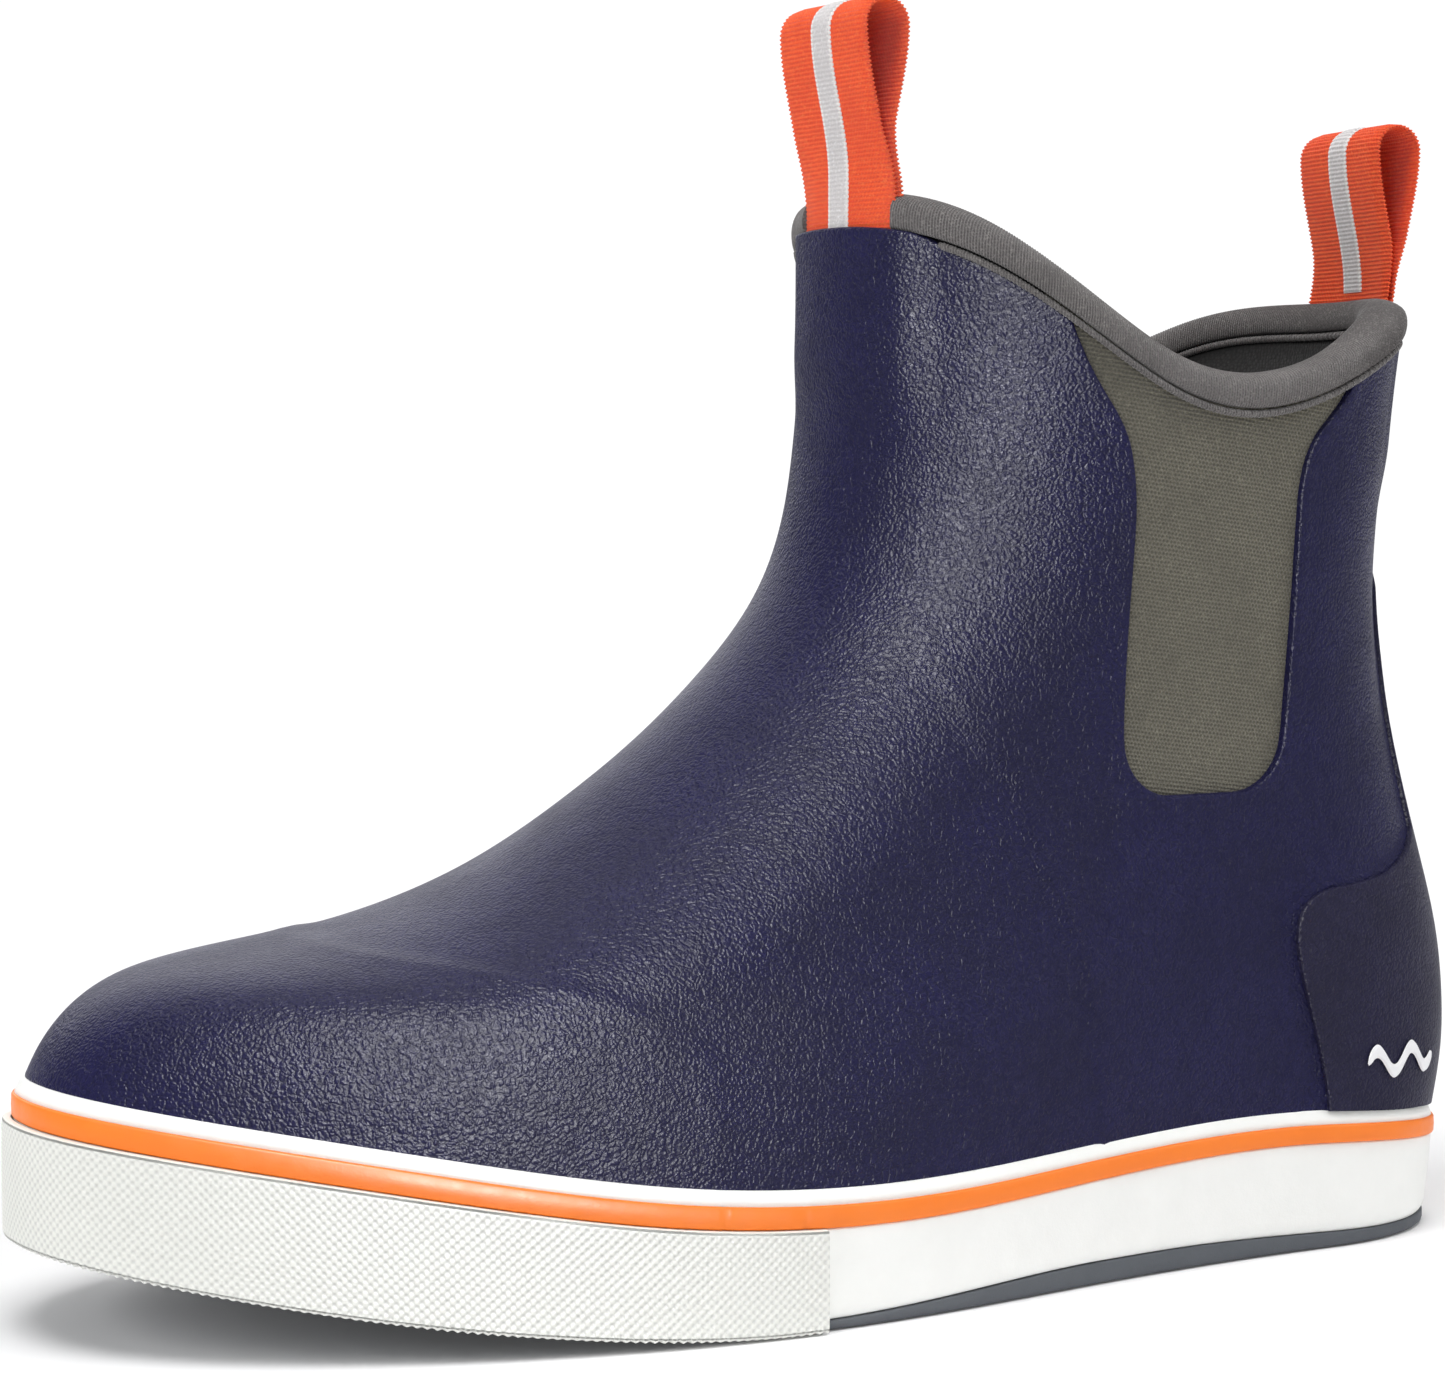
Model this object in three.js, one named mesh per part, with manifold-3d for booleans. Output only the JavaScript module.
// A pull-on deck boot (left foot): moulded rubber upper over a neoprene bootie, knit side gores,
// a bound collar with two webbing pull loops, and a foxed rubber sole.
// Millimetres. Toe towards -Y, wearer's left (lateral) side towards +X, +Z up,
// origin on the ground under the middle of the boot.
import * as THREE from 'three';
import Module from 'manifold-3d';
import { mergeVertices } from 'three/addons/utils/BufferGeometryUtils.js';

const wasm = await Module();
wasm.setup();

// ---------------------------------------------------------------- driving dimensions
const upperLength = 296; // toe to heel of the upper at the sole line
const ballWidth = 102; // across the upper at the ball of the foot
const shaftRise = 182; // sole line to the collar's front peak
const soleHeight = 27; // ground to the sole line at the arch
const collarDip = 25; // how far the collar sags at each side

const columnsPerSide = 16; // facets from toe to heel, each side
const gap = 0.3; // bonded faces are kept this far apart

// upper, in layers from the outside in
const rubberSkin = 2.2;
const neoprene = 2.9;
const liningThickness = 0.8;
const reinforcement = 0.8; // plies hidden under the rubber
const skinOverReinforcement = 1.1;
const gorePanel = 1.3;
const goreTuck = 4; // how far the gore runs under the rubber
const rubberTopDrop = 0.4; // the rubber ends this far under the piping
const bootieTopDrop = 1; // the bootie and lining end this far under the binding's fold
const heelOverlayThickness = 1;
const badgeThickness = 0.5;
const badgeFront = 112;
const badgeBack = 132;
const badgeHeight = 37;
const badgeWave = 2.2;
const badgeHalfWidth = 1.3;

// gore window, seen from the side
const goreFront = 52;
const goreBack = 90;
const goreBottom = 93;
const goreCorner = 11;
// the window widens below the collar: [outward, height], bottom to top at the back, then down the front
const goreFlareBack = [[0, 150], [1, 157], [4, 163], [9, 168], [15, 178], [15, 260]];
const goreFlareFront = [[14, 260], [14, 183], [8, 171], [3.5, 164], [1, 156], [0, 146]];

// collar
const bindingHeight = 6.2;
const bindingLap = 2.6; // thickness of the binding's outer leg
const bindingRound = 3;
const bindingFace = 1; // how far the binding stands out over the rubber
const bindingInnerLeg = 1.6;
const bindingCrown = 0.4; // height of the binding's fold over the collar edge
const bindingShoulder = 1.6; // the fold is rounded over this width at each side
const pipingRadius = 0.8;
const pipingFace = 0.2; // how far out the piping's middle lies

// pull loops
const webbingWidth = 30;
const webbingThickness = 1.4;
const loopHeight = 35;
const loopDepth = 11; // front leg to back leg, outside
const loopSideways = 4; // both loops sit this far to the lateral side
const loopTailLength = 30;
const loopRootHeight = 9; // the legs lie together up to here
const stripeWidth = 6.9;
const stripeThickness = 0.4;
const stripeStart = 2.5; // the stripe begins this far above the hinge
const tailBulge = rubberSkin; // the tails push the rubber out by its own thickness
const frontLoopYaw = THREE.MathUtils.degToRad(4);
const rearLoopYaw = THREE.MathUtils.degToRad(-5);
const hingeClearance = 0.8;
const tailReach = 22; // from the hinge inwards, past the tail
const bulgeFlat = webbingWidth / 2 + 5; // the rubber is pushed out fully this far from the tail's middle
const bulgeEnd = bulgeFlat + 10; // and not at all from here on
const bulgeReach = 25; // front to back
const bulgeSlack = 0.5; // room between a tail and the rubber over it

// sole
const outsoleThickness = 6;
const groundEdgeBevel = 1;
const grooveDepth = 2.5;
const grooveWidth = 2;
const groovePitch = 11;
const grooveMargin = 9;
const grooveWave = 3; // the grooves wander this far to each side
const grooveWaveHalfLength = 14;
const firstGroove = -132;
const lastGroove = 140;
const topLineHeight = 2.7;
const stripeHeightToe = 4.4;
const stripeHeightHeel = 3.6;
const soleWallToe = 2.9; // how far the sole stands out from the upper
const soleWallHeel = 2;
const bumperThickness = 1.5;
const bumperEnd = -22;
const bumperRoll = 0.9; // the bumper's lower edge turns in by this much
const toeSpring = 17;
const springStart = -30;
const midsoleFore = 4;
const midsoleHeel = 8.5;
const boardThickness = 1.5;
const footbedThickness = 4;
const footbedCoverThickness = 0.7;

// ---------------------------------------------------------------- small maths
const clamp = THREE.MathUtils.clamp;
const mix = THREE.MathUtils.lerp;
const ease = (a, b, x) => THREE.MathUtils.smoothstep(x, a, b);

// Natural cubic spline through [x, y] stations, straight beyond its ends.
function spline(stations) {
  const n = stations.length;
  const x = stations.map((s) => s[0]);
  const y = stations.map((s) => s[1]);
  const bend = new Array(n).fill(0);
  const work = new Array(n).fill(0);
  for (let i = 1; i < n - 1; i++) {
    const share = (x[i] - x[i - 1]) / (x[i + 1] - x[i - 1]);
    const pivot = share * bend[i - 1] + 2;
    bend[i] = (share - 1) / pivot;
    const slopes = (y[i + 1] - y[i]) / (x[i + 1] - x[i]) - (y[i] - y[i - 1]) / (x[i] - x[i - 1]);
    work[i] = ((6 * slopes) / (x[i + 1] - x[i - 1]) - share * work[i - 1]) / pivot;
  }
  for (let i = n - 2; i >= 0; i--) bend[i] = bend[i] * bend[i + 1] + work[i];
  return (at) => {
    const t = clamp(at, x[0], x[n - 1]);
    let i = 0;
    while (i < n - 2 && t > x[i + 1]) i++;
    const h = x[i + 1] - x[i];
    const a = (x[i + 1] - t) / h;
    const b = (t - x[i]) / h;
    return a * y[i] + b * y[i + 1] + (((a ** 3 - a) * bend[i] + (b ** 3 - b) * bend[i + 1]) * h * h) / 6;
  };
}

// Straight lines between [x, y] stations.
function steps(stations) {
  return (at) => {
    let i = 0;
    while (i < stations.length - 2 && at > stations[i + 1][0]) i++;
    const [a, b] = [stations[i], stations[i + 1]];
    return mix(a[1], b[1], clamp((at - a[0]) / (b[0] - a[0]), 0, 1));
  };
}

// ---------------------------------------------------------------- the upper's outer surface
// The stations are for a boot of these sizes; the driving dimensions stretch them.
const drawn = { length: 296, width: 102, rise: 182, sole: 27 };
const along = (y) => (y * upperLength) / drawn.length;
const across = (x) => (x * ballWidth) / drawn.width;
const up = (z) => soleHeight + ((z - drawn.sole) * shaftRise) / drawn.rise;
const undoAlong = (y) => (y * drawn.length) / upperLength;

// Rings run from the sole line (v = 0) to the collar (v = 1): the front and back point of each.
const frontY = spline([[0, -149], [0.1, -144], [0.2, -131], [0.32, -101], [0.45, -65], [0.58, -30],
  [0.7, -3], [0.82, 7], [0.92, 9], [1, 9]]);
const frontZ = spline([[0, 40], [0.1, 50], [0.2, 61], [0.32, 69], [0.45, 82], [0.58, 105],
  [0.7, 132], [0.82, 162], [0.92, 188], [1, 209]]);
const backY = spline([[0, 146], [0.1, 148], [0.2, 148], [0.32, 146], [0.45, 141], [0.58, 135],
  [0.7, 130], [0.82, 129], [0.92, 131], [1, 134]]);
const backZ = spline([[0, 29], [0.1, 40], [0.2, 51], [0.32, 64], [0.45, 79], [0.58, 97],
  [0.7, 117], [0.82, 143], [0.92, 169], [1, 190]]);
const lateralHalf = spline([[-150, 40], [-100, 48], [-55, 54], [0, 51], [50, 42], [100, 36], [150, 36]]);
const medialHalf = spline([[-150, 37], [-100, 46], [-60, 48], [0, 40], [45, 34.5], [100, 36], [150, 36]]);
const shaftHalf = spline([[60, 40], [100, 38.5], [140, 41.5], [180, 44.5], [215, 46.5]]);
const soleLineWave = spline([[-150, 6], [-100, -1], [-50, -8], [0, -9], [50, -5], [100, -2.5], [150, -5]]);
const toeRoundLateral = steps([[0, 72], [0.2, 62], [0.45, 55], [0.7, 48], [1, 46]]);
const toeRoundMedial = steps([[0, 58], [0.2, 55], [0.45, 52], [0.7, 48], [1, 46]]);
const heelRound = steps([[0, 42], [0.3, 42], [0.7, 40], [1, 42]]);
const toeFullness = steps([[0, 2.25], [0.2, 2.2], [0.45, 2.1], [1, 2.1]]);
const heelFullness = 2.15;
const toeInward = 9;

// Rises from 0 at an end of the outline to 1 at the distance `reach`, as a superellipse does.
function roundEnd(distance, reach, power) {
  const rest = clamp(1 - distance / reach, 0, 1);
  return (1 - rest ** power) ** (1 / power);
}

// Point of the outer surface: w 0 at the front to 1 at the back, v 0 sole line to 1 collar.
function surfacePoint(w, v, side) {
  const k = (1 - Math.cos(Math.PI * w)) / 2;
  const chord = Math.hypot(backY(v) - frontY(v), backZ(v) - frontZ(v));
  const y = mix(frontY(v), backY(v), k);
  let z = mix(frontZ(v), backZ(v), k);
  const footHalf = (side > 0 ? lateralHalf : medialHalf)(y);
  const half = mix(footHalf, shaftHalf(z), ease(45, 125, z));
  const toeRound = (side > 0 ? toeRoundLateral : toeRoundMedial)(v);
  const fullness = roundEnd(chord * k, toeRound, toeFullness(v))
    * roundEnd(chord * (1 - k), heelRound(v), heelFullness);
  const middle = -toeInward * (1 - ease(0, 170, chord * k)) * (1 - ease(0.1, 0.6, v));
  z += (1 - v) ** 2 * soleLineWave(y);
  z -= collarDip * ease(0.55, 1, v) * Math.sin(Math.PI * k) ** 1.6;
  return new THREE.Vector3(across(middle + side * half * fullness), along(y), up(z));
}

// Columns go once round: toe, lateral side, heel, medial side.
const columns = [];
for (let i = 0; i <= columnsPerSide; i++) columns.push({ w: i / columnsPerSide, side: 1 });
for (let i = columnsPerSide - 1; i > 0; i--) columns.push({ w: i / columnsPerSide, side: -1 });
const columnCount = columns.length;

const rimSpan = 262; // millimetres of height per unit of v near the collar, as drawn
const below = (distance) => 1 - distance / ((rimSpan * shaftRise) / drawn.rise);
const rubberTop = below(bindingHeight + 2 * pipingRadius + 2 * gap + rubberTopDrop);
const bootieTop = below(bindingRound + bootieTopDrop);
const ringLevels = [0, 0.07, 0.15, 0.24, 0.33, 0.42, 0.51, 0.6, 0.7, 0.79,
  below(38), rubberTop, bootieTop, 1];
const rubberTopRing = 11;
const bootieTopRing = 12;
const collarRing = 13;
const tailRing = 10;

const rings = ringLevels.map((v) => columns.map((c) => surfacePoint(c.w, v, c.side)));
const normals = ringNormals(rings);
const planNormals = outlineNormals(rings[0]);

function ringNormals(grid) {
  return grid.map((ring, r) => ring.map((point, j) => {
    const before = ring[(j + columnCount - 1) % columnCount];
    const after = ring[(j + 1) % columnCount];
    const lower = grid[Math.max(r - 1, 0)][j];
    const upper = grid[Math.min(r + 1, grid.length - 1)][j];
    const round = after.clone().sub(before);
    return round.cross(upper.clone().sub(lower)).normalize();
  }));
}

function outlineNormals(ring) {
  return ring.map((point, j) => {
    const before = ring[(j + columnCount - 1) % columnCount];
    const after = ring[(j + 1) % columnCount];
    return new THREE.Vector3(after.y - before.y, before.x - after.x, 0).normalize();
  });
}

// Height of the sole's underside: flat on the ground, then lifting to the toe.
function underside(y) {
  const reach = clamp((springStart - undoAlong(y)) / 120, 0, 1);
  return toeSpring * reach ** 1.6;
}

const heelward = (y) => ease(-60, 90, undoAlong(y));
const midsoleFloor = (y) => underside(y) + outsoleThickness + gap;
const midsoleTop = (y) => midsoleFloor(y) + mix(midsoleFore, midsoleHeel, heelward(y));
const boardTop = (y) => midsoleTop(y) + gap + boardThickness;
const bootieFloor = (y) => boardTop(y) + gap;
const liningFloor = (y) => bootieFloor(y) + neoprene + gap;
const footbedFloor = (y) => liningFloor(y) + liningThickness + gap;

// ---------------------------------------------------------------- mesh builders
function meshGeometry(points, triangles) {
  let volume = 0;
  for (const [a, b, c] of triangles) volume += points[a].dot(points[b].clone().cross(points[c]));
  const facing = volume < 0 ? triangles.map(([a, b, c]) => [a, c, b]) : triangles;
  const flat = points.flatMap((point) => point.toArray());
  const geometry = new THREE.BufferGeometry();
  geometry.setAttribute('position', new THREE.Float32BufferAttribute(flat, 3));
  geometry.setIndex(facing.flat());
  return geometry;
}

// Quads between two rows of points. Every row is split along the same diagonal, so that offset
// skins stay parallel; `inward` turns the faces round.
function band(triangles, lower, upper, count, inward = false) {
  for (let j = 0; j < count; j++) {
    const next = (j + 1) % count;
    const faces = [[lower + j, lower + next, upper + next], [lower + j, upper + next, upper + j]];
    for (const [a, b, c] of faces) triangles.push(inward ? [a, c, b] : [a, b, c]);
  }
}

// Closes a ring of columns with strips from the lateral to the medial side.
function cap(triangles, start, flip) {
  const lateral = (i) => start + i;
  const medial = (i) => start + ((columnCount - i) % columnCount);
  for (let i = 0; i < columnsPerSide; i++) {
    const corners = [lateral(i), lateral(i + 1), medial(i + 1), medial(i)];
    const faces = [[corners[0], corners[1], corners[2]], [corners[0], corners[2], corners[3]]];
    for (const [a, b, c] of faces) {
      if (a !== b && b !== c && a !== c) triangles.push(flip ? [a, c, b] : [a, b, c]);
    }
  }
}

// A skin between two offsets of the outer surface. `floor` closes it under the foot at that
// height; otherwise it ends in an open rim at `bottom`.
function shell({ outer, inner, firstRing = -1, lastRing, bottom, floor, floorThickness }) {
  const points = [];
  const triangles = [];
  const faceStart = [];
  for (const [face, offset] of [[0, outer], [1, inner]]) {
    faceStart.push(points.length);
    for (let r = firstRing; r <= lastRing; r++) {
      for (let j = 0; j < columnCount; j++) {
        const shift = typeof offset === 'function' ? offset(Math.max(r, 0), j) : offset;
        const base = rings[Math.max(r, 0)][j];
        const direction = r < 0 ? planNormals[j] : normals[r][j];
        const point = base.clone().addScaledVector(direction, shift);
        if (r < 0) point.z = floor ? floor(point.y) + face * floorThickness : bottom(point.y);
        points.push(point);
      }
    }
  }
  const ringCount = lastRing - firstRing + 1;
  for (let r = 0; r + 1 < ringCount; r++) {
    const step = r * columnCount;
    const above = step + columnCount;
    band(triangles, faceStart[0] + step, faceStart[0] + above, columnCount);
    band(triangles, faceStart[1] + step, faceStart[1] + above, columnCount, true);
  }
  const top = (ringCount - 1) * columnCount;
  band(triangles, faceStart[0] + top, faceStart[1] + top, columnCount);
  if (floor) {
    cap(triangles, faceStart[0], true);
    cap(triangles, faceStart[1], false);
  } else {
    band(triangles, faceStart[1], faceStart[0], columnCount);
  }
  return meshGeometry(points, triangles);
}

// A closed ring round the sole line; `section` gives [out, height] corners at a column, and a
// height may be a function of the corner's own y.
function soleRing(section) {
  const points = [];
  const triangles = [];
  const sections = rings[0].map((point, j) => section(point, j));
  const corners = sections[0].length;
  for (let c = 0; c < corners; c++) {
    rings[0].forEach((base, j) => {
      const [out, height] = sections[j][c];
      const point = base.clone().addScaledVector(planNormals[j], out);
      point.z = typeof height === 'function' ? height(point.y) : height;
      points.push(point);
    });
  }
  for (let c = 0; c < corners; c++) {
    band(triangles, c * columnCount, ((c + 1) % corners) * columnCount, columnCount);
  }
  return meshGeometry(points, triangles);
}

// A solid plate under the foot: loops of [out, height(y)] from its underside to its top.
function solePlate(loops) {
  const points = [];
  const triangles = [];
  for (const [out, height] of loops) {
    rings[0].forEach((base, j) => {
      const shift = typeof out === 'function' ? out(base) : out;
      const point = base.clone().addScaledVector(planNormals[j], shift);
      point.z = height(point.y);
      points.push(point);
    });
  }
  for (let k = 0; k + 1 < loops.length; k++) {
    band(triangles, k * columnCount, (k + 1) * columnCount, columnCount);
  }
  cap(triangles, 0, true);
  cap(triangles, (loops.length - 1) * columnCount, false);
  return meshGeometry(points, triangles);
}

// Sweeps a closed section of [outward, upward] corners along the collar's edge.
function collarSweep(section, from = 0, to = 2, closed = true) {
  const points = [];
  const triangles = [];
  const stations = closed ? columnCount : Math.round((to - from) * columnsPerSide) + 1;
  for (const [outward, upward] of section) {
    for (let s = 0; s < stations; s++) {
      const u = closed ? s / columnsPerSide : mix(from, to, s / (stations - 1));
      const { edge, out, up: upDirection } = collarFrame(u);
      points.push(edge.clone().addScaledVector(out, outward).addScaledVector(upDirection, upward));
    }
  }
  const corners = section.length;
  for (let c = 0; c < corners; c++) {
    const lower = c * stations;
    const upper = ((c + 1) % corners) * stations;
    if (closed) {
      band(triangles, lower, upper, stations);
      continue;
    }
    for (let s = 0; s + 1 < stations; s++) {
      triangles.push([lower + s, lower + s + 1, upper + s + 1], [lower + s, upper + s + 1, upper + s]);
    }
  }
  if (!closed) {
    for (let c = 1; c + 1 < corners; c++) {
      triangles.push([0, c * stations, (c + 1) * stations]);
      triangles.push([stations - 1, (c + 1) * stations + stations - 1, c * stations + stations - 1]);
    }
  }
  return meshGeometry(points, triangles);
}

// The collar edge at u: 0 front, 1 back, on to 2 down the medial side.
function collarFrame(u) {
  const at = (value, v) => {
    const wrapped = ((value % 2) + 2) % 2;
    return wrapped <= 1 ? surfacePoint(wrapped, v, 1) : surfacePoint(2 - wrapped, v, -1);
  };
  const stepU = 1 / columnsPerSide;
  const edge = at(u, 1);
  const upward = edge.clone().sub(at(u, rubberTop)).normalize();
  const round = at(u + stepU, 1).sub(at(u - stepU, 1));
  const out = round.cross(upward).normalize();
  return { edge, up: upward, out };
}

// ---------------------------------------------------------------- joining and cutting
function solid(geometry) {
  const bare = new THREE.BufferGeometry();
  bare.setAttribute('position', geometry.getAttribute('position'));
  if (geometry.index) bare.setIndex(geometry.index);
  const merged = mergeVertices(bare, 1e-5);
  return new wasm.Manifold(new wasm.Mesh({
    numProp: 3,
    vertProperties: new Float32Array(merged.getAttribute('position').array),
    triVerts: new Uint32Array(merged.index.array),
  }));
}

function geometryOf(manifold) {
  const mesh = manifold.getMesh();
  const geometry = new THREE.BufferGeometry();
  geometry.setAttribute('position', new THREE.BufferAttribute(new Float32Array(mesh.vertProperties), 3));
  geometry.setIndex(new THREE.BufferAttribute(new Uint32Array(mesh.triVerts), 1));
  return geometry;
}

// A side-view outline (y, z) pushed through the boot from x = from to x = to.
function sidePrism(outline, from, to) {
  const shape = new THREE.Shape(outline.map(([y, z]) => new THREE.Vector2(y, z)));
  const geometry = new THREE.ExtrudeGeometry(shape, { depth: to - from, bevelEnabled: false });
  geometry.applyMatrix4(new THREE.Matrix4().set(0, 0, 1, from, 1, 0, 0, 0, 0, 1, 0, 0, 0, 0, 0, 1));
  return solid(geometry);
}

function box(low, high) {
  const size = high.clone().sub(low);
  const geometry = new THREE.BoxGeometry(size.x, size.y, size.z);
  geometry.translate((low.x + high.x) / 2, (low.y + high.y) / 2, (low.z + high.z) / 2);
  return solid(geometry);
}

const far = 400; // well outside the boot

// ---------------------------------------------------------------- outlines, seen from the side
// The gore window, `grow` millimetres larger all round.
function goreOutline(grow) {
  const front = along(goreFront) - grow;
  const back = along(goreBack) + grow;
  const bottom = up(goreBottom) - grow;
  const corner = goreCorner + grow;
  const outline = [];
  for (let i = 0; i <= 4; i++) {
    const turn = (Math.PI / 2) * (i / 4);
    outline.push([front + corner * (1 - Math.cos(turn)), bottom + corner * (1 - Math.sin(turn))]);
  }
  for (let i = 4; i >= 0; i--) {
    const turn = (Math.PI / 2) * (i / 4);
    outline.push([back - corner * (1 - Math.cos(turn)), bottom + corner * (1 - Math.sin(turn))]);
  }
  for (const [out, height] of goreFlareBack) outline.push([back + along(out), up(height)]);
  for (const [out, height] of goreFlareFront) outline.push([front - along(out), up(height)]);
  return outline;
}

const heelOverlayOutline = [[103.5, -5], [103, 28], [100, 42], [95, 58], [94, 66], [97, 71], [104, 73],
  [117, 75], [126, 78], [132, 84], [190, 84], [190, -5]].map(([y, z]) => [along(y), up(z)]);
const heelStiffenerOutline = [[108, -5], [106, 30], [104, 62], [112, 70], [190, 70], [190, -5]]
  .map(([y, z]) => [along(y), up(z)]);
const toePlyOutline = [[-190, -5], [-28, -5], [-28, 27], [-32, 37], [-45, 51], [-63, 62], [-96, 71],
  [-99, 95], [-190, 95]].map(([y, z]) => [along(y), up(z)]);
const quarterPlyOutline = [[46, -5], [45, 30], [43, 49], [40, 65], [32.5, 78], [30, 84], [34, 86],
  [88, 86], [92, 80], [92, -5]].map(([y, z]) => [along(y), up(z)]);

// The back stay, seen from behind: a strip with a round top.
function backStay(grow) {
  const halfWidth = across(26) + grow;
  const topHalf = across(21) + grow;
  const shape = new THREE.Shape();
  shape.moveTo(-halfWidth, up(70));
  shape.lineTo(halfWidth, up(70));
  shape.lineTo(topHalf, up(132));
  shape.quadraticCurveTo(topHalf, up(143) + grow, 0, up(143) + grow);
  shape.quadraticCurveTo(-topHalf, up(143) + grow, -topHalf, up(132));
  const geometry = new THREE.ExtrudeGeometry(shape, { depth: 120, bevelEnabled: false, curveSegments: 4 });
  geometry.rotateX(Math.PI / 2);
  geometry.translate(0, along(90) + 120, 0);
  return solid(geometry);
}

// ---------------------------------------------------------------- pull loops
const loops = {
  front: { yaw: frontLoopYaw, column: 0, outward: -1 },
  rear: { yaw: rearLoopYaw, column: columnsPerSide, outward: 1 },
};
const tailOuter = 0.1;
const tailInner = tailOuter - webbingThickness;
for (const loop of Object.values(loops)) {
  const edge = rings[collarRing][loop.column];
  loop.x = across(loopSideways);
  loop.y = edge.y + loop.outward * (tailOuter + tailInner) / 2 - loop.outward * 0.2;
  loop.z = edge.z + webbingThickness + hingeClearance;
}

// How much the hidden loop tails push the rubber out, at a ring and column.
function bulge(ring, column) {
  const point = rings[ring][column];
  const sideways = 1 - ease(bulgeFlat, bulgeEnd, Math.abs(point.x - across(loopSideways)));
  const atFront = point.y < rings[ring][0].y + bulgeReach;
  const atBack = point.y > rings[ring][columnsPerSide].y - bulgeReach;
  return ring >= tailRing && (atFront || atBack) ? sideways : 0;
}

function bulged(offset, slack = 0) {
  return (ring, column) => offset + (tailBulge + slack) * bulge(ring, column);
}

function tailBox(loop, margin) {
  const half = webbingWidth / 2 + margin;
  const near = loop.outward < 0 ? -far : loop.y - tailReach;
  const farSide = loop.outward < 0 ? loop.y + tailReach : far;
  const foot = loop.z - webbingThickness - hingeClearance - loopTailLength - margin;
  return box(new THREE.Vector3(loop.x - half, near, foot), new THREE.Vector3(loop.x + half, farSide, far));
}

// Half the loop's thickness at a height above its hinge: two legs together, opening, a round top.
function loopHalfDepth(height) {
  const belly = loopHeight - loopDepth / 2;
  if (height > belly) return Math.sqrt(Math.max(0, (loopDepth / 2) ** 2 - (height - belly) ** 2));
  return mix(webbingThickness, loopDepth / 2, ease(2, belly, height));
}

// The loop's outline in its own plane, `inset` inside the outer face.
function loopOutline(inset, startHeight) {
  const belly = loopHeight - loopDepth / 2;
  const side = [];
  for (let i = 0; i <= 5; i++) {
    const height = mix(startHeight, belly, i / 5);
    side.push([loopHalfDepth(height) - inset, height]);
  }
  const arch = [];
  for (let i = 1; i <= 7; i++) {
    const turn = (Math.PI * i) / 8;
    const radius = loopDepth / 2 - inset;
    arch.push([radius * Math.cos(turn), belly + radius * Math.sin(turn)]);
  }
  const back = side.map(([depth, height]) => [-depth, height]).reverse();
  return [...side, ...arch, ...back].map(([depth, height]) => new THREE.Vector2(depth, height));
}

function placeLoop(geometry, width, loop) {
  geometry.translate(0, 0, -width / 2);
  // profile x -> boot's y, profile y -> up, extrusion -> along the webbing's width
  geometry.applyMatrix4(new THREE.Matrix4().set(0, 0, 1, 0, 1, 0, 0, 0, 0, 1, 0, 0, 0, 0, 0, 1));
  geometry.rotateZ(loop.yaw);
  geometry.translate(loop.x, loop.y, loop.z);
  return geometryOf(solid(geometry));
}

function pullLoop(loop) {
  const foot = webbingThickness;
  const outer = loopOutline(0, 0);
  const corner = 0.7 * foot;
  const rounded = [new THREE.Vector2(-corner, -corner), new THREE.Vector2(0, -foot),
    new THREE.Vector2(corner, -corner)];
  const shape = new THREE.Shape([...outer, ...rounded]);
  const hole = loopOutline(webbingThickness, loopRootHeight);
  shape.holes.push(new THREE.Path(hole.reverse()));
  const strap = new THREE.ExtrudeGeometry(shape, { depth: webbingWidth, bevelEnabled: false });
  return placeLoop(strap, webbingWidth, loop);
}

function loopStripe(loop) {
  const outside = loopOutline(-gap - stripeThickness, stripeStart);
  const inside = loopOutline(-gap, stripeStart).reverse();
  const shape = new THREE.Shape([...outside, ...inside]);
  const strip = new THREE.ExtrudeGeometry(shape, { depth: stripeWidth, bevelEnabled: false });
  return placeLoop(strip, stripeWidth, loop);
}

function loopTail(loop) {
  const skin = solid(shell({
    outer: tailOuter, inner: tailInner, firstRing: tailRing - 1, lastRing: collarRing,
  }));
  return geometryOf(skin.intersect(tailBox(loop, 0)));
}

// ---------------------------------------------------------------- sub-parts of the upper
const rubberInner = -rubberSkin;
const plyOuter = -skinOverReinforcement - gap;
const plyInner = plyOuter - reinforcement;
const goreInner = plyOuter - gorePanel;
const bootieOuter = rubberInner - gap;
const bootieInner = bootieOuter - neoprene;
const liningOuter = bootieInner - gap;
const liningInner = liningOuter - liningThickness;
const rubberFoot = (y) => underside(y) + outsoleThickness + gap;

const middleClear = 5; // pieces of one side only keep this far off the boot's middle

function upperSkin(outer, inner) {
  return solid(shell({ outer, inner, lastRing: rubberTopRing, bottom: rubberFoot }));
}

// From the outer surface inwards past the given face, over the whole height.
function recessTo(inner) {
  return solid(shell({ outer: 0, inner: inner - gap, lastRing: collarRing, bottom: rubberFoot }));
}

const plySkin = solid(shell({
  outer: plyOuter, inner: plyInner, lastRing: rubberTopRing, bottom: (y) => rubberFoot(y) + 1,
}));
const pocketSkin = solid(shell({
  outer: -skinOverReinforcement,
  inner: Math.min(plyInner, goreInner, rubberInner) - gap,
  lastRing: collarRing,
  bottom: (y) => rubberFoot(y) - 2,
}));

function rubberUpper() {
  let body = solid(shell({
    outer: bulged(0), inner: bulged(rubberInner, bulgeSlack), lastRing: rubberTopRing, bottom: rubberFoot,
  }));
  body = body.subtract(sidePrism(goreOutline(0), -far, far));
  body = body.subtract(pocketSkin.intersect(sidePrism(goreOutline(goreTuck + gap), -far, far)));
  for (const outline of [heelStiffenerOutline, toePlyOutline, quarterPlyOutline]) {
    body = body.subtract(pocketSkin.intersect(sidePrism(outline, -far, far)));
  }
  return geometryOf(body);
}

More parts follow.
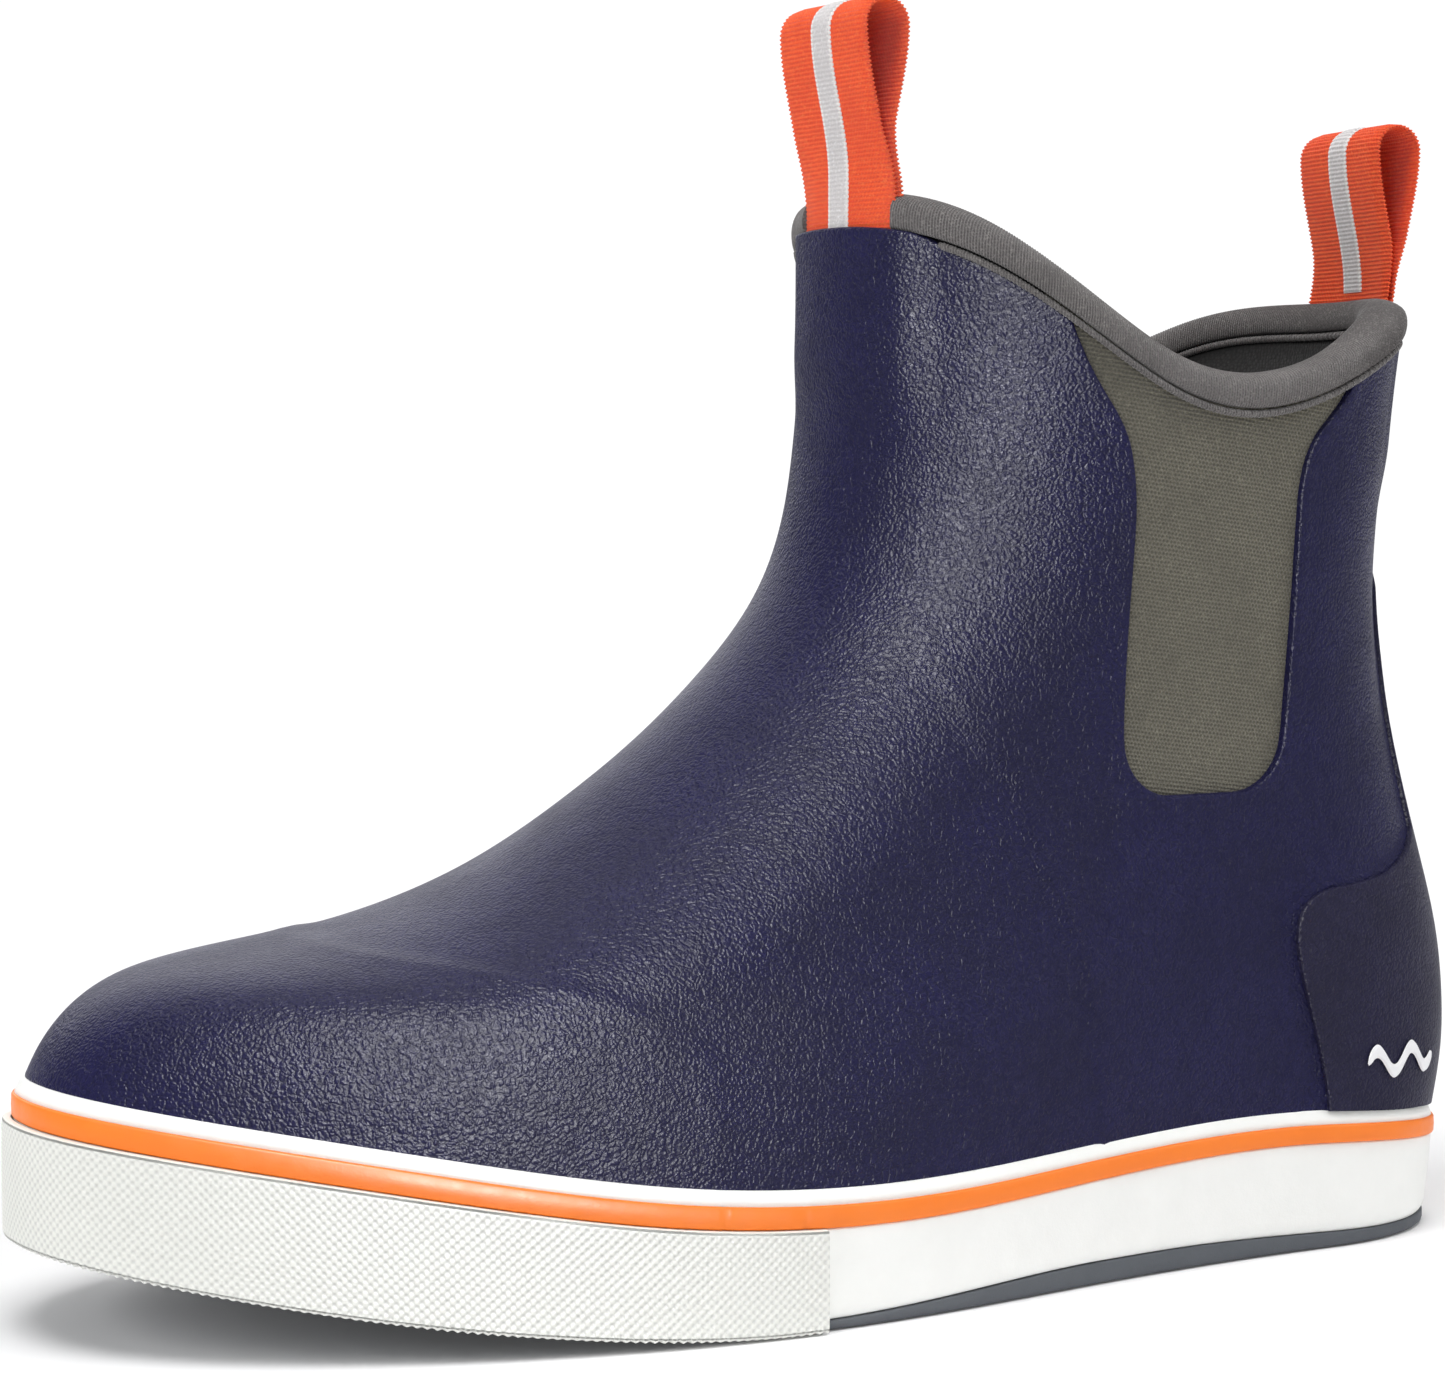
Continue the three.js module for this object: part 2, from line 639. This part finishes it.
// A ply under the rubber, cut to a side-view outline and kept clear of its pocket's walls.
function ply(outline, from, to) {
  const body = plySkin.intersect(sidePrism(outline, from, to));
  const count = outline.length;
  const middle = outline.reduce((sum, [y, z]) => [sum[0] + y / count, sum[1] + z / count], [0, 0]);
  const trimmed = outline.map(([y, z]) => [
    y + Math.sign(middle[0] - y) * gap, z + Math.sign(middle[1] - z) * gap,
  ]);
  return geometryOf(body.intersect(sidePrism(trimmed, from, to)));
}

function gore(from, to) {
  const panel = upperSkin(plyOuter, goreInner);
  return geometryOf(panel.intersect(sidePrism(goreOutline(goreTuck), from, to)));
}

function heelOverlay() {
  const skin = upperSkin(bulged(gap + heelOverlayThickness), bulged(gap));
  const cut = sidePrism(heelOverlayOutline, -far, far).add(backStay(0));
  const past = 20; // past the overlay's face, and under the sole
  const clearOfSole = solid(solePlate([[past, () => -past], [past, (y) => soleLineHeight(y) + gap]]));
  return geometryOf(skin.intersect(cut).subtract(clearOfSole));
}

function soleLineHeight(y) {
  let best = rings[0][0];
  for (const point of rings[0]) if (Math.abs(point.y - y) < Math.abs(best.y - y)) best = point;
  return best.z;
}

function heelBadge() {
  const face = 2 * gap + heelOverlayThickness;
  const skin = upperSkin(face + badgeThickness, face);
  const count = 12;
  const corner = (i, side) => {
    const height = up(badgeHeight + badgeWave * Math.sin((i / count) * 4 * Math.PI));
    return [along(mix(badgeFront, badgeBack, i / count)), height + side * badgeHalfWidth];
  };
  const outline = [];
  for (let i = 0; i <= count; i++) outline.push(corner(i, -1));
  for (let i = count; i >= 0; i--) outline.push(corner(i, 1));
  return geometryOf(skin.intersect(sidePrism(outline, middleClear, far)));
}

function bootie() {
  const walls = solid(shell({
    outer: bootieOuter, inner: bootieInner, lastRing: bootieTopRing,
    floor: bootieFloor, floorThickness: neoprene,
  }));
  const goreRecess = recessTo(goreInner);
  const plyRecess = recessTo(plyInner);
  let body = walls.subtract(goreRecess.intersect(sidePrism(goreOutline(goreTuck + gap), -far, far)));
  for (const outline of [heelStiffenerOutline, toePlyOutline, quarterPlyOutline]) {
    body = body.subtract(plyRecess.intersect(sidePrism(outline, -far, far)));
  }
  return geometryOf(body);
}

function lining() {
  return shell({
    outer: liningOuter, inner: liningInner, lastRing: bootieTopRing,
    floor: liningFloor, floorThickness: liningThickness,
  });
}

function collarBinding() {
  const channelOut = bindingFace - bindingLap;
  const channelIn = liningInner - gap;
  const channelTop = -bindingRound - 0.2;
  const inside = channelIn - bindingInnerLeg;
  const shoulder = -0.6;
  let body = solid(collarSweep([
    [bindingFace, -bindingHeight], [bindingFace, -bindingRound], [bindingFace - bindingShoulder, shoulder],
    [(bindingFace + inside) / 2, bindingCrown],
    [inside + bindingShoulder, shoulder], [inside, -bindingRound], [inside, -bindingHeight],
    [channelIn, -bindingHeight], [channelIn, channelTop], [channelOut, channelTop],
    [channelOut, -bindingHeight],
  ]));
  const clearance = solid(shell({
    outer: 12, inner: tailInner - 2 * gap, firstRing: tailRing - 1, lastRing: collarRing,
  }));
  const above = (loop) => {
    const half = webbingWidth / 2 + 2 * gap + 1;
    const edge = rings[collarRing][loop.column];
    const near = edge.y + loop.outward * (tailInner - 2 * gap);
    const past = near + loop.outward * 30;
    const low = new THREE.Vector3(loop.x - half, Math.min(near, past), edge.z - 2.5);
    const high = new THREE.Vector3(loop.x + half, Math.max(near, past), far);
    return box(low, high);
  };
  for (const loop of Object.values(loops)) {
    body = body.subtract(clearance.intersect(tailBox(loop, gap))).subtract(above(loop));
  }
  return geometryOf(body);
}

function piping(centreOut, centreUp, from, to, closed) {
  const section = [];
  for (let i = 0; i < 5; i++) {
    const turn = (2 * Math.PI * i) / 5;
    section.push([centreOut + pipingRadius * Math.cos(turn), centreUp + pipingRadius * Math.sin(turn)]);
  }
  return collarSweep(section, from, to, closed);
}

// ---------------------------------------------------------------- sub-parts of the sole
const soleWall = (y) => mix(soleWallToe, soleWallHeel, ease(-120, 120, undoAlong(y)));
const stripeHeight = (y) => mix(stripeHeightToe, stripeHeightHeel, ease(-120, 120, undoAlong(y)));
const bumperSeat = 0.3; // the wall behind the bumper lies this much further in
const plugInset = 1.5; // the outsole's raised middle stays this far inside the sole line
const edgeHeight = (y) => mix(1.8, 4.2, ease(-25, 45, undoAlong(y))) - 1.6 * ease(60, 130, undoAlong(y));
const lowerWall = (y) => soleWall(y) - 1.6 * ease(-60, 60, undoAlong(y)) - 0.3;
const stripeTop = (point) => point.z - topLineHeight - gap;
const stripeBottom = (point) => stripeTop(point) - stripeHeight(point.y);
const wallTop = (point) => stripeBottom(point) - gap;

function topLine() {
  return soleRing((point) => {
    const wall = soleWall(point.y);
    return [[gap, point.z], [wall - 1.5, point.z - 0.2], [wall - 0.2, point.z - topLineHeight],
      [gap, point.z - topLineHeight]];
  });
}

function orangeStripe() {
  return soleRing((point) => {
    const wall = soleWall(point.y);
    const [top, bottom] = [stripeTop(point), stripeBottom(point)];
    return [[gap, top], [wall, top], [wall, bottom], [gap, bottom]];
  });
}

function foxingSidewall() {
  return soleRing((point) => {
    const foot = (y) => underside(y) + edgeHeight(y) + gap;
    const shelf = (y) => underside(y) + outsoleThickness;
    const wall = soleWall(point.y) - bumperSeat;
    const kneeOut = mix(wall, lowerWall(point.y), 0.4);
    return [[gap, wallTop(point)], [wall, wallTop(point)], [kneeOut, (y) => foot(y) + 4],
      [lowerWall(point.y) - 0.4, foot], [gap - plugInset, foot], [gap - plugInset, shelf], [gap, shelf]];
  });
}

function toeBumper() {
  const ring = soleRing((point) => {
    const inner = soleWall(point.y) + gap;
    const outer = inner + bumperThickness;
    const foot = underside(point.y) + 0.2;
    return [[inner, wallTop(point)], [outer, wallTop(point) - 0.4], [outer, foot + 3],
      [outer - bumperRoll, foot + 0.6], [inner, foot]];
  });
  const forward = box(new THREE.Vector3(-far, -far, -far), new THREE.Vector3(far, along(bumperEnd), far));
  return geometryOf(solid(ring).intersect(forward));
}

function treadGroove(y) {
  const wave = (x) => y + grooveWave * Math.cos((x / grooveWaveHalfLength) * Math.PI);
  const reach = across(70);
  const count = 10;
  const outline = [];
  for (let i = 0; i <= count; i++) {
    const x = mix(-reach, reach, i / count);
    outline.push(new THREE.Vector2(x, wave(x) - grooveWidth / 2));
  }
  for (let i = count; i >= 0; i--) {
    const x = mix(-reach, reach, i / count);
    outline.push(new THREE.Vector2(x, wave(x) + grooveWidth / 2));
  }
  const start = -20; // under the sole
  const depth = underside(y) + grooveDepth - start;
  const geometry = new THREE.ExtrudeGeometry(new THREE.Shape(outline), { depth, bevelEnabled: false });
  geometry.translate(0, 0, start);
  return solid(geometry);
}

function outsole() {
  const underBumper = (base) => soleWall(base.y) - bumperSeat;
  const behindBumper = (base) => lowerWall(base.y) - 0.2;
  const edge = (base) => (undoAlong(base.y) < bumperEnd ? underBumper(base) : behindBumper(base));
  let body = solid(solePlate([
    [(base) => edge(base) - groundEdgeBevel, underside],
    [edge, (y) => underside(y) + groundEdgeBevel],
    [edge, (y) => underside(y) + edgeHeight(y)],
    [-plugInset, (y) => underside(y) + edgeHeight(y)],
    [-plugInset, (y) => underside(y) + outsoleThickness],
  ]));
  const treadArea = solid(solePlate([[-grooveMargin, () => -far], [-grooveMargin, () => far]]));
  for (let y = firstGroove; y < lastGroove; y += groovePitch) {
    body = body.subtract(treadGroove(along(y)).intersect(treadArea));
  }
  return geometryOf(body);
}

const insideUpper = rubberInner - gap;
const footbedEase = 0.4; // the footbed lies loose inside the lining
const insideLining = liningInner - gap - footbedEase;

function midsole() {
  return solePlate([[insideUpper, midsoleFloor], [insideUpper, midsoleTop]]);
}

function insoleBoard() {
  return solePlate([[insideUpper - 1, (y) => midsoleTop(y) + gap], [insideUpper - 1, boardTop]]);
}

function footbedFoam() {
  const top = (y) => footbedFloor(y) + footbedThickness;
  return solePlate([[insideLining, footbedFloor], [insideLining, top]]);
}

function footbedCover() {
  const start = (y) => footbedFloor(y) + footbedThickness + gap;
  return solePlate([[insideLining, start], [insideLining, (y) => start(y) + footbedCoverThickness]]);
}

// ---------------------------------------------------------------- assembly
const finishes = {
  navyRubber: [0x25243f, 0.5],
  navyOverlay: [0x2a2940, 0.55],
  whiteRubber: [0xeeefec, 0.55],
  orangeRubber: [0xf0762b, 0.5],
  greyRubber: [0x5c6065, 0.7],
  oliveKnit: [0x605d52, 0.95],
  greyKnit: [0x736f6d, 0.95],
  orangeWebbing: [0xe8501f, 0.9],
  reflective: [0xcfcccb, 0.5],
  neoprene: [0x202024, 0.9],
  lining: [0x2b2a2a, 0.95],
  foam: [0x3b3d42, 0.9],
  board: [0xb59c74, 0.9],
};

const boot = new THREE.Group();

function add(name, finish, geometry) {
  const [color, roughness] = finishes[finish];
  const material = new THREE.MeshStandardMaterial({ color, roughness, metalness: 0 });
  const mesh = new THREE.Mesh(geometry, material);
  mesh.name = name;
  boot.add(mesh);
}

add('outsole', 'greyRubber', outsole());
add('midsole', 'foam', midsole());
add('insole_board', 'board', insoleBoard());
add('foxing_sidewall', 'whiteRubber', foxingSidewall());
add('toe_bumper', 'whiteRubber', toeBumper());
add('orange_stripe', 'orangeRubber', orangeStripe());
add('foxing_top_line', 'whiteRubber', topLine());
add('rubber_upper', 'navyRubber', rubberUpper());
add('toe_reinforcement', 'neoprene', ply(toePlyOutline, -far, far));
add('quarter_reinforcement_lateral', 'neoprene', ply(quarterPlyOutline, middleClear, far));
add('quarter_reinforcement_medial', 'neoprene', ply(quarterPlyOutline, -far, -middleClear));
add('heel_stiffener', 'board', ply(heelStiffenerOutline, -far, far));
add('heel_overlay', 'navyOverlay', heelOverlay());
add('heel_badge', 'whiteRubber', heelBadge());
add('gore_lateral', 'oliveKnit', gore(middleClear, far));
add('gore_medial', 'oliveKnit', gore(-far, -middleClear));
add('neoprene_bootie', 'neoprene', bootie());
add('lining', 'lining', lining());
add('footbed_foam', 'foam', footbedFoam());
add('footbed_cover', 'lining', footbedCover());
add('collar_binding', 'greyKnit', collarBinding());
const pipingUp = -bindingHeight - gap - pipingRadius;
const pipingClear = across(loopSideways) + webbingWidth / 2 + pipingRadius + gap;
const pipingGap = columns.findIndex((c, j) => rings[collarRing][j].x > pipingClear) / columnsPerSide;
add('piping_lateral', 'greyKnit', piping(pipingFace, pipingUp, pipingGap, 1 - pipingGap, false));
add('piping_medial', 'greyKnit', piping(pipingFace, pipingUp, 1 + pipingGap, 2 - pipingGap, false));
const pipingInside = liningInner - gap - pipingRadius;
add('piping_inner', 'greyKnit', piping(pipingInside, pipingUp, 0, 2, true));
for (const [place, loop] of Object.entries(loops)) {
  add(`${place}_loop_tail`, 'orangeWebbing', loopTail(loop));
  add(`${place}_pull_loop`, 'orangeWebbing', pullLoop(loop));
  add(`${place}_loop_stripe`, 'reflective', loopStripe(loop));
}

// The origin is on the ground, under the middle of the boot's outline.
const extent = new THREE.Box3().setFromObject(boot);
const middle = extent.getCenter(new THREE.Vector3());
boot.position.set(-middle.x, -middle.y, -extent.min.z);

export default boot;
